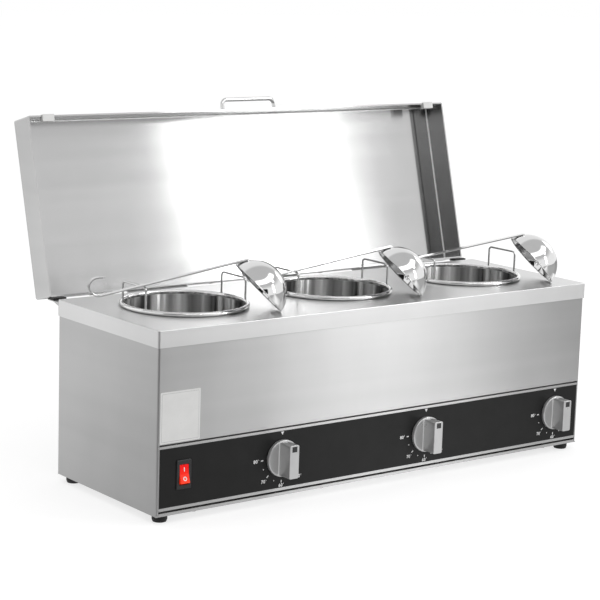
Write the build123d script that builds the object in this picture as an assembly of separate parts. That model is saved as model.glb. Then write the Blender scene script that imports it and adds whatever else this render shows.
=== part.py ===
"""Three-pot hot topping warmer: a brushed steel case with three lift-out pots, three ladles and a hinged lid.

The case frame has X across the front, Y from the front of the cover to the back and Z up from the floor.
Every piece is built in that frame and moved once at the end, so that the origin lies on the floor under
the middle of the whole outline. The lid is built closed and then turned back to its open stop.
"""
from build123d import *
from math import acos, asin, atan2, cos, degrees, hypot, radians, sin, sqrt, tan
import os

# ---- driving dimensions, mm and degrees ----
SHEET = 1.2              # cover, base, lid and panel sheet
SHELL_SHEET = 1.0        # side wrap and rear panel
COVER_WIDTH = 740.0
COVER_DEPTH = 243.0
COVER_LIP = 22.0
COVER_FIT = 0.1          # between the lip's inside and the shell
CASE_HEIGHT = 238.0      # underside of the base to the top of the cover
FOOT_HEIGHT = 10.0
FOOT_RADIUS = 10.0
FOOT_INSET = 15.5        # foot axis in from the sides of the case
CORNER_RADIUS = 2.5      # upright front bends of the shell
FLANGE = 12.0            # width of the shell's inward flanges

POT_PITCH = 245.0
POT_BACK = 8.0           # pot row behind the middle of the cover
POT_RADIUS = 81.2
POT_WALL = 0.8
POT_DEPTH = 152.0
POT_CORNER = 14.0
BEAD_RADIUS = 2.85       # rolled rim of a pot
SEAT_GAP = 0.3           # under what lies loose on the cover
WELL_GAP = 2.7           # between a pot and its heat well
WELL_WALL = 1.0
WELL_FLOOR_GAP = 6.0
WELL_FLANGE = 8.0
HOLE_GAP = 1.7           # between a pot's wall and the hole in the cover

LOOP_WIRE = 2.8
LOOP_SPAN = 55.0         # between the leg axes of a pot's wire loop
LOOP_TOP = 34.5          # loop axis above the cover
LOOP_BEND = 5.0

HEATER_THICK = 4.0
HEATER_HEIGHT = 80.0
HEATER_RISE = 8.0        # heater above the well's floor
HEATER_SLIT = 8.0
INSULATION_WALL = 7.0

PANEL_TOP = 147.8        # below the top of the cover
PANEL_BOTTOM = 231.2
PANEL_HALF = 365.2
PANEL_RETURN = 10.0
SHELL_EDGE = 145.5       # lower edge of the shell's front, below the top of the cover
BASE_EDGE = 234.0        # upper edge of the base's front flange, below the top of the cover
OVERLAY_TOP = 151.0
OVERLAY_BOTTOM = 227.2
OVERLAY_THICK = 0.4

KNOB_X = 73.0            # middle knob from the middle of the case
KNOB_PITCH = 247.5
KNOB_DROP = 187.0        # knob axis below the top of the cover
KNOB_RADIUS = 24.7
KNOB_DISC = 4.6
KNOB_GAP = 0.6
KNOB_REACH = 27.4        # grip bar's front ahead of the overlay
GRIP_WIDTH = 15.0
GRIP_LENGTH = 44.6
INSERT_WIDTH = 8.0
INSERT_LENGTH = 7.4
INSERT_DEPTH = 1.6
SHAFT_RADIUS = 3.0
SHAFT_FIT = 0.05
THERMOSTAT_SIDE = 36.0
THERMOSTAT_DEPTH = 30.0
THERMOSTAT_SCREWS = 28.0
BULB_RADIUS = 3.0
BULB_LENGTH = 64.0
CAPILLARY_RADIUS = 1.0

SWITCH_X = -329.0
BEZEL_WIDTH = 22.0
BEZEL_HEIGHT = 38.0
BEZEL_THICK = 2.0
ROCKER_WIDTH = 13.2
ROCKER_RADIUS = 13.0
ROCKER_TRAVEL = 20.0
ROCKER_GAP = 0.5

LABEL_WIDTH = 60.0
LABEL_HEIGHT = 66.0
LABEL_THICK = 0.2
LABEL_SIDE = 3.6         # label in from the side of the case
LABEL_RISE = 1.0         # label above the shell's lower edge

LID_WIDTH = 737.0
LID_DEPTH = 244.3
LID_HEIGHT = 40.0
LID_GAP = 2.0            # mouth of the closed lid above the cover
LID_HEM = 2.2
HEM_HEIGHT = 8.0
LID_OPEN = 104.9
HINGE_BACK = 10.3        # hinge axis behind the cover
HINGE_DROP = 8.2         # hinge axis below the top of the cover
HINGE_HALF = 346.0
KNUCKLE_RADIUS = 3.0
PIN_RADIUS = 1.5
KNUCKLES = 7
KNUCKLE_GAP = 0.4
HANDLE_SPAN = 92.0
HANDLE_WIRE = 6.0
HANDLE_REACH = 18.0
HANDLE_RISE = 6.0        # handle axis above the lid's mouth
HANDLE_BEND = 8.0
STOP_WIDTH = 20.0        # rubber pad under each end of the open lid
STOP_GAP = 0.3
BUMPER_X = 338.0
BUMPER_WIDTH = 18.0

BOWL_RADIUS = 42.8
BOWL_DEPTH = 34.5
BOWL_WALL = 0.9
LADLE_PLACES = [         # lowest point of the bowl's rim in X from its pot's axis, in Y, and turn about Z
    (86.2, 35.0, -23.0),
    (82.8, 35.4, -23.5),
    (87.1, 35.0, -26.9),
]
LADLE_REACH = 180.0      # from that point along the ladle to where its handle crosses the loop, unturned
LADLE_BEND = 18.0        # from there to the slight bend towards the hook
LADLE_TILT = 44.0        # bowl axis above the horizontal
RIM_BEAD = 0.8           # bead round the bowl's rim
STRIP_WIDTH = 10.0
STRIP_THICK = 1.6
TAB_ANGLE = 5.0          # arc of the bowl that the strip is spot welded to
WELD_SINK = 0.03
HOOK_RADIUS = 13.2
HOOK_REACH = 191.0       # outermost point of the hook from the top of the bowl's rim
HOOK_DROP = 42.3         # lowest point of the hook below the top of the bowl's rim

SCREW_RADIUS = 2.0
SCREW_HEAD = 4.0
SCREW_FIT = 0.1
SCREW_LENGTH = 6.0
RIVET_RADIUS = 1.6

# ---- places that follow from them ----
TOP = FOOT_HEIGHT + CASE_HEIGHT
UNDER = TOP - SHEET
SHELL_HALF = COVER_WIDTH / 2 - SHEET - COVER_FIT
FRONT = SHEET + COVER_FIT
BACK = COVER_DEPTH - SHEET - COVER_FIT
BASE_TOP = FOOT_HEIGHT + SHEET
POT_Y = COVER_DEPTH / 2 + POT_BACK
POT_XS = [-POT_PITCH, 0.0, POT_PITCH]
KNOB_XS = [KNOB_X - KNOB_PITCH, KNOB_X, KNOB_X + KNOB_PITCH]
CONTROL_Z = TOP - KNOB_DROP
BEAD_Z = TOP + SEAT_GAP + BEAD_RADIUS
BEAD_RING = POT_RADIUS - POT_WALL + BEAD_RADIUS
HOLE_RADIUS = POT_RADIUS + HOLE_GAP
WELL_RADIUS = POT_RADIUS + WELL_GAP
WELL_OUTER = WELL_RADIUS + WELL_WALL
WELL_FLOOR = TOP - POT_DEPTH - WELL_FLOOR_GAP
HEATER_OUTER = WELL_OUTER + HEATER_THICK
PANEL_BACK = FRONT + SHEET
FACE = FRONT - OVERLAY_THICK
HINGE_Y = COVER_DEPTH + HINGE_BACK
HINGE_Z = TOP - HINGE_DROP
MOUTH = TOP + LID_GAP
LID_FRONT = COVER_DEPTH - LID_DEPTH
OPEN_LID = Pos(0, HINGE_Y, HINGE_Z) * Rot(X=-LID_OPEN) * Pos(0, -HINGE_Y, -HINGE_Z)

nodes = {}


def keep(name, *solids):
    """Stores one node, made of one or more separate solids."""
    flat = [solid for shape in solids for solid in shape.solids()]
    nodes[name] = flat[0] if len(flat) == 1 else Compound(children=flat)


def block(x0, x1, y0, y1, z0, z1):
    """A box from its lowest to its highest corner."""
    return Pos((x0 + x1) / 2, (y0 + y1) / 2, (z0 + z1) / 2) * Box(x1 - x0, y1 - y0, z1 - z0)


def rod(x, y, z0, z1, radius):
    """An upright cylinder."""
    return Pos(x, y, (z0 + z1) / 2) * Cylinder(radius, z1 - z0)


def rod_y(x, z, y0, y1, radius):
    """A cylinder along Y."""
    return Pos(x, (y0 + y1) / 2, z) * Rot(X=90) * Cylinder(radius, y1 - y0)


def rod_x(y, z, x0, x1, radius):
    """A cylinder along X."""
    return Pos((x0 + x1) / 2, y, z) * Rot(Y=90) * Cylinder(radius, x1 - x0)


def prism_x(points, x0, x1):
    """A side-view outline of (Y, Z) points, carried across from x0 to x1."""
    outline = Plane.YZ * make_face(Polyline(*points, close=True))
    return Pos(x0, 0, 0) * extrude(outline, x1 - x0)


def wire_rod(points, bends, radius):
    """Round wire along straight runs joined by bends."""
    path = FilletPolyline(*points, radius=bends)
    section = Plane(path @ 0, z_dir=path % 0) * Circle(radius)
    return sweep(section, path)


def pan_screw(x, y, z, length, direction=1):
    """A pan-head screw: the head's flat is at z, the shank points along direction on Z."""
    shank = Pos(x, y, z + direction * length / 2) * Cylinder(SCREW_RADIUS, length)
    head = Pos(x, y, z - direction * 1.1) * Cylinder(SCREW_HEAD, 2.2)
    outer = head.edges().filter_by(GeomType.CIRCLE).sort_by(Axis.Z)[0 if direction > 0 else -1]
    return fillet(outer, 1.2) + shank


# ---- fastener places ----
BASE_SCREW_XS = [-307.5, -102.5, 102.5, 307.5]
BASE_SCREW_YS = [COVER_DEPTH / 2 - 64.5, COVER_DEPTH / 2 + 64.5]
EDGE = FLANGE / 2 + SHELL_SHEET
BASE_SCREWS = [(x, y) for x in BASE_SCREW_XS for y in (FRONT + EDGE, BACK - EDGE)]
BASE_SCREWS += [(x, y) for x in (-SHELL_HALF + EDGE, SHELL_HALF - EDGE) for y in BASE_SCREW_YS]
FEET = [(x, y) for x in (-SHELL_HALF + FOOT_INSET, SHELL_HALF - FOOT_INSET)
        for y in (FRONT + FOOT_INSET, BACK - FOOT_INSET)]
REAR_SCREWS = [(x, z) for x in (-SHELL_HALF + EDGE, SHELL_HALF - EDGE)
               for z in (BASE_TOP + 30, (BASE_TOP + UNDER) / 2, UNDER - COVER_LIP - 12)]
GLAND = (SHELL_HALF - 68.0, BASE_TOP + 32.0)
GLAND_RADIUS = 8.0


def make_shell():
    """Front and sides in one wrapped sheet, with inward flanges at its free edges."""
    low, high = BASE_TOP, UNDER
    outer = block(-SHELL_HALF, SHELL_HALF, FRONT, BACK - SHELL_SHEET, low, high)
    inner = block(-SHELL_HALF + SHELL_SHEET, SHELL_HALF - SHELL_SHEET, FRONT + SHELL_SHEET, BACK, low, high)
    bends = outer.edges().filter_by(Axis.Z).group_by(Axis.Y)[0]
    inner_bends = inner.edges().filter_by(Axis.Z).group_by(Axis.Y)[0]
    shell = fillet(bends, CORNER_RADIUS) - fillet(inner_bends, CORNER_RADIUS - SHELL_SHEET)
    edge = TOP - SHELL_EDGE
    shell -= block(-PANEL_HALF - 0.3, PANEL_HALF + 0.3, 0, FRONT + SHELL_SHEET + 1, low - 1, edge)
    shell += block(-PANEL_HALF, PANEL_HALF, FRONT + SHELL_SHEET / 2, FRONT + FLANGE, edge, edge + SHELL_SHEET)
    for side in (-1, 1):
        wall = side * (SHELL_HALF - SHELL_SHEET / 2)
        free = side * (SHELL_HALF - SHELL_SHEET - FLANGE)
        x0, x1 = min(wall, free), max(wall, free)
        shell += block(x0, x1, FRONT + 14, BACK - SHELL_SHEET, low, low + SHELL_SHEET)
        shell += block(x0, x1, FRONT + SHELL_SHEET, BACK - SHELL_SHEET, high - SHELL_SHEET, high)
        shell += block(x0, x1, BACK - 2 * SHELL_SHEET, BACK - SHELL_SHEET, low, high)
    shell += block(-PANEL_HALF, PANEL_HALF, FRONT + SHELL_SHEET / 2, FRONT + FLANGE, high - SHELL_SHEET, high)
    for x, y in BASE_SCREWS + FEET:
        shell -= rod(x, y, low - 1, low + 3, SCREW_RADIUS + SCREW_FIT)
    for x, z in REAR_SCREWS:
        shell -= rod_y(x, z, BACK - 4, BACK, SCREW_RADIUS + SCREW_FIT)
    keep("case_shell", shell)


def make_rear_panel():
    """Flat back with two rows of cooling slots, the cord's hole and its screws."""
    plate = block(-SHELL_HALF, SHELL_HALF, BACK - SHELL_SHEET, BACK, BASE_TOP, UNDER)
    plate = chamfer(plate.edges().filter_by(Axis.Z).group_by(Axis.Y)[-1], 0.9)
    slot = Rot(X=90) * extrude(SlotOverall(34, 4), 6, both=True)
    for group in (-1, 1):
        for column in range(5):
            for row in range(2):
                x = group * 150 + (column - 2) * 44
                plate -= Pos(x, BACK, TOP - 150 - 14 * row) * slot
    plate -= rod_y(GLAND[0], GLAND[1], BACK - 5, BACK + 5, GLAND_RADIUS + SCREW_FIT)
    for x, z in REAR_SCREWS:
        plate -= rod_y(x, z, BACK - 5, BACK + 5, SCREW_RADIUS + SCREW_FIT)
    keep("rear_panel", plate)


def make_base():
    """Base pan with a front flange, inner rails, cooling slots, feet and all case screws."""
    pan = block(-SHELL_HALF, SHELL_HALF, FRONT, BACK, FOOT_HEIGHT, BASE_TOP)
    pan += block(-PANEL_HALF, PANEL_HALF, FRONT, FRONT + SHEET, FOOT_HEIGHT, TOP - BASE_EDGE)
    slot = extrude(SlotOverall(60, 5), 6, both=True)
    for x in POT_XS:
        for row in range(5):
            pan -= Pos(x, POT_Y + (row - 2) * 16, FOOT_HEIGHT) * slot
    for x, y in BASE_SCREWS + FEET:
        pan -= rod(x, y, FOOT_HEIGHT - 2, BASE_TOP + 2, SCREW_RADIUS + SCREW_FIT)
    keep("base_pan", pan)

    feet, foot_screws, screws = [], [], []
    for x, y in FEET:
        foot = rod(x, y, 0, FOOT_HEIGHT, FOOT_RADIUS)
        foot = chamfer(foot.edges().sort_by(Axis.Z)[0], 3, 1.2)
        foot -= rod(x, y, -1, 4.5, SCREW_HEAD + 1.2)
        foot -= rod(x, y, 4, FOOT_HEIGHT + 1, SCREW_RADIUS + SCREW_FIT)
        feet.append(foot)
        foot_screws.append(pan_screw(x, y, 4.5, FOOT_HEIGHT + 2))
    screws += [pan_screw(x, y, FOOT_HEIGHT, SCREW_LENGTH) for x, y in BASE_SCREWS]
    turn = Rot(X=90)
    for x, z in REAR_SCREWS:
        screws.append(Pos(x, BACK, z) * turn * pan_screw(0, 0, 0, SCREW_LENGTH))
    keep("feet", *feet)
    keep("foot_screws", *foot_screws)
    keep("case_screws", *screws)


def make_cover():
    """Top cover: a plate with a lip all round and one hole for each pot."""
    outer = block(-COVER_WIDTH / 2, COVER_WIDTH / 2, 0, COVER_DEPTH, TOP - COVER_LIP, TOP)
    outer = fillet(outer.edges().filter_by(Axis.Z), CORNER_RADIUS)
    outer = fillet(outer.faces().sort_by(Axis.Z)[-1].edges(), 1.0)
    inner = block(-COVER_WIDTH / 2 + SHEET, COVER_WIDTH / 2 - SHEET, SHEET, COVER_DEPTH - SHEET,
                  TOP - COVER_LIP - 1, UNDER)
    inner = fillet(inner.edges().filter_by(Axis.Z), CORNER_RADIUS - SHEET)
    cover = outer - inner
    for x in POT_XS:
        cover -= rod(x, POT_Y, UNDER - 1, TOP + 1, HOLE_RADIUS)
    keep("top_cover", cover)


def make_control_panel():
    """Folded control panel, its black overlay, and the blank plate above it."""
    high, low = TOP - PANEL_TOP, TOP - PANEL_BOTTOM
    panel = block(-PANEL_HALF, PANEL_HALF, FRONT, PANEL_BACK, low, high)
    panel += block(-PANEL_HALF, PANEL_HALF, FRONT, PANEL_BACK + PANEL_RETURN, high - SHEET, high)
    panel += block(-PANEL_HALF, PANEL_HALF, FRONT, PANEL_BACK + PANEL_RETURN, low, low + SHEET)
    deep = PANEL_BACK + PANEL_RETURN
    for side in (-1, 1):
        post = (side * PANEL_HALF, side * (PANEL_HALF - SHEET))
        tab = (side * (PANEL_HALF - SHEET), side * (SHELL_HALF - SHELL_SHEET))
        panel += block(min(post), max(post), FRONT, deep, low, high)
        panel += block(min(tab), max(tab), deep - SHEET, deep, low, high)
    overlay = block(-PANEL_HALF + 0.6, PANEL_HALF - 0.6, FACE, FRONT, TOP - OVERLAY_BOTTOM, TOP - OVERLAY_TOP)
    for x in KNOB_XS:
        hole = rod_y(x, CONTROL_Z, 0, deep, SHAFT_RADIUS + 0.6)
        panel -= hole
        overlay -= hole
        for side in (-1, 1):
            hole = rod_y(x + side * THERMOSTAT_SCREWS / 2, CONTROL_Z, 0, deep, SCREW_RADIUS + SCREW_FIT)
            panel -= hole
            overlay -= hole
    cut = block(SWITCH_X - BEZEL_WIDTH / 2 + 1.5, SWITCH_X + BEZEL_WIDTH / 2 - 1.5, 0, deep,
                CONTROL_Z - BEZEL_HEIGHT / 2 + 2, CONTROL_Z + BEZEL_HEIGHT / 2 - 2)
    keep("control_panel", panel - cut)
    keep("panel_overlay", overlay - cut)
    left = -SHELL_HALF + LABEL_SIDE
    bottom = TOP - SHELL_EDGE + LABEL_RISE
    label = block(left, left + LABEL_WIDTH, FRONT - LABEL_THICK, FRONT, bottom, bottom + LABEL_HEIGHT)
    keep("label_plate", fillet(label.edges().filter_by(Axis.Y), 1.5))


def make_switch():
    """Rocker switch: a housing with its bezel, and the rocker on its two pivot pins, pressed at the top."""
    pivot_y = FACE + 1.2
    depth = 26.0
    wide = BEZEL_WIDTH - 3.4
    tall = BEZEL_HEIGHT - 4.4
    slot_x = ROCKER_WIDTH / 2 + 0.4
    slot_z = ROCKER_RADIUS + ROCKER_GAP
    bezel = Pos(SWITCH_X, FACE - BEZEL_THICK / 2, CONTROL_Z) * Box(BEZEL_WIDTH, BEZEL_THICK, BEZEL_HEIGHT)
    bezel = fillet(bezel.edges().filter_by(Axis.Y), 1.6)
    bezel = chamfer(bezel.faces().sort_by(Axis.Y)[0].edges(), 0.7)
    housing = bezel + Pos(SWITCH_X, FACE + depth / 2, CONTROL_Z) * Box(wide, depth, tall)
    housing -= block(SWITCH_X - slot_x, SWITCH_X + slot_x, FACE - 5, pivot_y + 9,
                     CONTROL_Z - slot_z, CONTROL_Z + slot_z)
    pin = ROCKER_WIDTH / 2 + 1.4
    housing -= rod_x(pivot_y, CONTROL_Z, SWITCH_X - pin - 0.1, SWITCH_X + pin + 0.1, 1.55)
    for z in (-9, 9):
        for x in (-4.5, 4.5):
            blade_y = FACE + depth
            housing += block(SWITCH_X + x - 0.4, SWITCH_X + x + 0.4, blade_y - 1, blade_y + 8,
                             CONTROL_Z + z - 3.1, CONTROL_Z + z + 3.1)
    keep("rocker_housing", housing)

    front = -sqrt(ROCKER_RADIUS ** 2 - 12.0 ** 2)
    outline = [(front, 12), (front + 1.4, 0), (front, -12), (4, -12.3), (4, 12.3)]
    rocker = prism_x(outline, -ROCKER_WIDTH / 2, ROCKER_WIDTH / 2)
    rocker = fillet(rocker.faces().sort_by(Axis.Y)[:2].edges().filter_by(Axis.Z, reverse=True)
                    .filter_by(Axis.X).group_by(Axis.Y)[0], 0.5)
    rocker += rod_x(0, 0, -pin, pin, 1.5)
    rocker = Pos(SWITCH_X, pivot_y, CONTROL_Z) * Rot(X=-ROCKER_TRAVEL / 2) * rocker
    keep("rocker", rocker)


def make_knobs():
    """Dial knobs with a raised grip bar and an inset pointer, their shafts, thermostats and bulbs."""
    back = FACE - KNOB_GAP
    disc_front = back - KNOB_DISC
    bar_front = FACE - KNOB_REACH
    body_back = PANEL_BACK + 2 + THERMOSTAT_DEPTH
    shaft_end = PANEL_BACK + 14
    insert_top = GRIP_LENGTH / 2 - 1.6
    screws = []
    for number, (x, pot_x) in enumerate(zip(KNOB_XS, POT_XS), start=1):
        here = Pos(x, 0, CONTROL_Z)
        disc = Pos(0, (back + disc_front) / 2, 0) * Rot(X=90) * Cylinder(KNOB_RADIUS, KNOB_DISC)
        disc = fillet(disc.edges().filter_by(GeomType.CIRCLE).sort_by(Axis.Y)[0], 1.6)
        half = GRIP_WIDTH / 2
        bar = block(-half, half, bar_front, disc_front + 1, -GRIP_LENGTH / 2, GRIP_LENGTH / 2)
        bar = fillet(bar.edges().filter_by(Axis.Y), 2.2)
        bar = fillet(bar.faces().sort_by(Axis.Y)[0].edges(), 0.8)
        hollow = rod_y(0, 0, disc_front + 1.6, back + 1, KNOB_RADIUS - 4)
        hollow -= rod_y(0, 0, disc_front, back + 2, SHAFT_RADIUS + 3.5)
        knob = disc + bar - hollow
        pocket = block(-INSERT_WIDTH / 2, INSERT_WIDTH / 2, bar_front - 1, bar_front + INSERT_DEPTH,
                       insert_top - INSERT_LENGTH, insert_top)
        knob -= pocket
        knob -= rod_y(0, 0, disc_front - 12, back + 1, SHAFT_RADIUS)
        keep(f"knob_{number}", here * knob)
        insert = block(-INSERT_WIDTH / 2, INSERT_WIDTH / 2, bar_front + 0.1, bar_front + INSERT_DEPTH,
                       insert_top - INSERT_LENGTH, insert_top)
        keep(f"knob_insert_{number}", here * insert)
        keep(f"thermostat_shaft_{number}", here * rod_y(0, 0, disc_front - 12, shaft_end, SHAFT_RADIUS))

        side = THERMOSTAT_SIDE / 2
        body = block(-side, side, PANEL_BACK + 2, body_back, -side, side)
        body = fillet(body.edges().filter_by(Axis.Y), 3)
        body += block(-side - 3, side + 3, PANEL_BACK, PANEL_BACK + 2.5, -9, 9)
        body -= rod_y(0, 0, 0, shaft_end + 0.3, SHAFT_RADIUS + SHAFT_FIT)
        for offset in (-THERMOSTAT_SCREWS / 2, THERMOSTAT_SCREWS / 2):
            body -= rod_y(offset, 0, 0, PANEL_BACK + 9, SCREW_RADIUS)
            screw = Rot(X=-90) * pan_screw(0, 0, 0, 8)
            screws.append(here * Pos(offset, FACE, 0) * screw)
        keep(f"thermostat_{number}", here * body)

        bulb_z = WELL_FLOOR - WELL_WALL - BULB_RADIUS
        bulb = rod_x(POT_Y, bulb_z, pot_x - BULB_LENGTH / 2, pot_x + BULB_LENGTH / 2, BULB_RADIUS)
        line_z = CONTROL_Z + 8
        route = [(x, body_back, line_z), (x, POT_Y, line_z), (x, POT_Y, bulb_z),
                 (pot_x + BULB_LENGTH / 2 - 1, POT_Y, bulb_z)]
        keep(f"capillary_{number}", bulb + wire_rod(route, 6, CAPILLARY_RADIUS))
    keep("thermostat_screws", *screws)


def make_wells():
    """Heat wells hung under the cover, their band heaters, and the insulation round them all."""
    jacket = HEATER_OUTER + INSULATION_WALL
    floor = WELL_FLOOR - WELL_WALL
    insulation = block(-POT_PITCH - jacket, POT_PITCH + jacket, POT_Y - jacket, POT_Y + jacket, floor, UNDER - 30)
    for number, x in enumerate(POT_XS, start=1):
        well = rod(x, POT_Y, floor, UNDER, WELL_OUTER)
        well = fillet(well.edges().sort_by(Axis.Z)[0], 5)
        bore = rod(x, POT_Y, WELL_FLOOR, UNDER + 1, WELL_RADIUS)
        bore = fillet(bore.edges().sort_by(Axis.Z)[0], 4)
        well += rod(x, POT_Y, UNDER - WELL_WALL, UNDER, WELL_OUTER + WELL_FLANGE)
        keep(f"heat_well_{number}", well - bore)
        low = WELL_FLOOR + HEATER_RISE
        high = low + HEATER_HEIGHT
        band = rod(x, POT_Y, low, high, HEATER_OUTER) - rod(x, POT_Y, low - 1, high + 1, WELL_OUTER)
        edge = POT_Y - WELL_OUTER
        for side in (-1, 1):
            lug = (x + side * HEATER_SLIT / 2, x + side * (HEATER_SLIT / 2 + 2))
            band += block(min(lug), max(lug), edge - 10, edge - 0.5, low + 8, high - 8)
        band -= block(x - HEATER_SLIT / 2, x + HEATER_SLIT / 2, edge - 12, edge + 3, low - 1, high + 1)
        keep(f"band_heater_{number}", band)
        insulation -= rod(x, POT_Y, floor - 1, UNDER, HEATER_OUTER + 0.2)
        insulation -= block(x - 12, x + 12, POT_Y - jacket - 1, POT_Y - WELL_OUTER, low - 1, UNDER)
    keep("insulation_block", insulation)


def make_pots():
    """Pots with a rolled rim, each with two wire loops on that rim."""
    for number, x in enumerate(POT_XS, start=1):
        bottom = TOP - POT_DEPTH
        body = rod(x, POT_Y, bottom, BEAD_Z, POT_RADIUS)
        body = fillet(body.edges().sort_by(Axis.Z)[0], POT_CORNER)
        hollow = rod(x, POT_Y, bottom + POT_WALL, BEAD_Z + 5, POT_RADIUS - POT_WALL)
        hollow = fillet(hollow.edges().sort_by(Axis.Z)[0], POT_CORNER - POT_WALL)
        pot = body + Pos(x, POT_Y, BEAD_Z) * Torus(BEAD_RING, BEAD_RADIUS)
        keep(f"pot_{number}", pot - hollow)
        loops = []
        half = LOOP_SPAN / 2
        reach = sqrt(BEAD_RING ** 2 - half ** 2)
        foot = BEAD_Z + BEAD_RADIUS - 0.05
        top = TOP + LOOP_TOP
        for side in (-1, 1):
            lx = x + side * reach
            points = [(lx, POT_Y - half, foot), (lx, POT_Y - half, top),
                      (lx, POT_Y + half, top), (lx, POT_Y + half, foot)]
            loops.append(wire_rod(points, LOOP_BEND, LOOP_WIRE / 2))
        keep(f"pot_loops_{number}", *loops)


def make_ladles():
    """Ladles that lie on their bowl's rim and, by the handle, on the left loop of their pot."""
    sphere = (BOWL_RADIUS ** 2 + BOWL_DEPTH ** 2) / (2 * BOWL_DEPTH)
    rim_angle = degrees(acos((sphere - BOWL_DEPTH) / sphere))
    tilt = radians(LADLE_TILT)
    # The ladle's own plane: first axis level, towards the bowl; second axis up.
    bowl_axis = Vector(cos(tilt), sin(tilt))
    rim_up = Vector(-sin(tilt), cos(tilt))
    centre = rim_up * BOWL_RADIUS - bowl_axis * (sphere - BOWL_DEPTH)
    rim_top = rim_up * (2 * BOWL_RADIUS)
    strip_radius = sphere + STRIP_THICK / 2 - WELD_SINK
    origin_z = TOP + SEAT_GAP + RIM_BEAD / 2
    rest_rise = TOP + LOOP_TOP + (LOOP_WIRE + STRIP_THICK) / 2 + SEAT_GAP - origin_z
    rest = Vector(-LADLE_REACH, rest_rise)
    # The strip leaves the bowl along the tangent that runs to the loop.
    gap = rest - centre
    tangent = degrees(atan2(gap.Y, gap.X)) - degrees(acos(strip_radius / gap.length))
    leave = centre + Vector(cos(radians(tangent)), sin(radians(tangent))) * strip_radius
    weld = tangent - TAB_ANGLE
    hook_left = rim_top.X - HOOK_REACH
    hook_low = rim_top.Y - HOOK_DROP
    hook_top = hook_low + 2 * HOOK_RADIUS
    tab = CenterArc(centre, strip_radius, weld, tangent - weld)
    corner = Vector(hook_left - 1.5, hook_low)
    along = (rest - leave).normalized()
    run = FilletPolyline(leave, rest + along * LADLE_BEND, corner, (hook_left, hook_top), (hook_left + 20, hook_top + 1.5),
                         radius=[60, HOOK_RADIUS * 0.98, HOOK_RADIUS * 0.9])
    path = Wire([tab.edge()] + run.edges())
    section = Plane(path @ 0, x_dir=(0, 0, 1), z_dir=path % 0) * Rectangle(STRIP_WIDTH, STRIP_THICK)
    strip = sweep(section, path)
    ends = [edge for edge in strip.edges() if abs(edge.length - STRIP_THICK) < 0.01
            and min((edge.center() - path @ 0).length, (edge.center() - path @ 1).length) < STRIP_WIDTH]
    strip = fillet(ends, STRIP_WIDTH / 2 - 0.6)

    shell = Sphere(sphere) - Sphere(sphere - BOWL_WALL)
    size = 3 * sphere
    shell -= Pos(0, 0, -(size / 2) + (sphere - BOWL_DEPTH)) * Box(size, size, size)
    shell += Pos(0, 0, sphere - BOWL_DEPTH) * Torus(BOWL_RADIUS - RIM_BEAD * 0.75, RIM_BEAD)
    shell = Pos(centre) * Rot(Z=LADLE_TILT) * Rot(Y=90) * shell
    # The straight run keeps its distance from the point that the ladle stands on, which gives the tilt at its loop.
    offset = along.X * leave.Y - along.Y * leave.X
    loop_reach = sqrt(BEAD_RING ** 2 - (LOOP_SPAN / 2) ** 2)
    for number, (x, (dx, y, turn)) in enumerate(zip(POT_XS, LADLE_PLACES), start=1):
        edge_dip = STRIP_WIDTH / 2 * tan(radians(abs(turn))) * along.Y / along.X
        target = Vector(-(loop_reach + dx) / cos(radians(turn)), rest_rise + edge_dip)
        run_angle = atan2(target.Y, target.X) - asin(offset / target.length)
        tilt_more = degrees(run_angle - atan2(along.Y, along.X)) % 360
        plane = Plane((x + dx, y, origin_z), x_dir=Vector(1, 0, 0).rotate(Axis.Z, turn),
                      z_dir=Vector(0, -1, 0).rotate(Axis.Z, turn))
        place = plane.location * Rot(Z=tilt_more)
        keep(f"ladle_bowl_{number}", place * shell)
        keep(f"ladle_handle_{number}", place * strip)
        print("ladle", number, "turned up by", round(tilt_more, 2))


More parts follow.
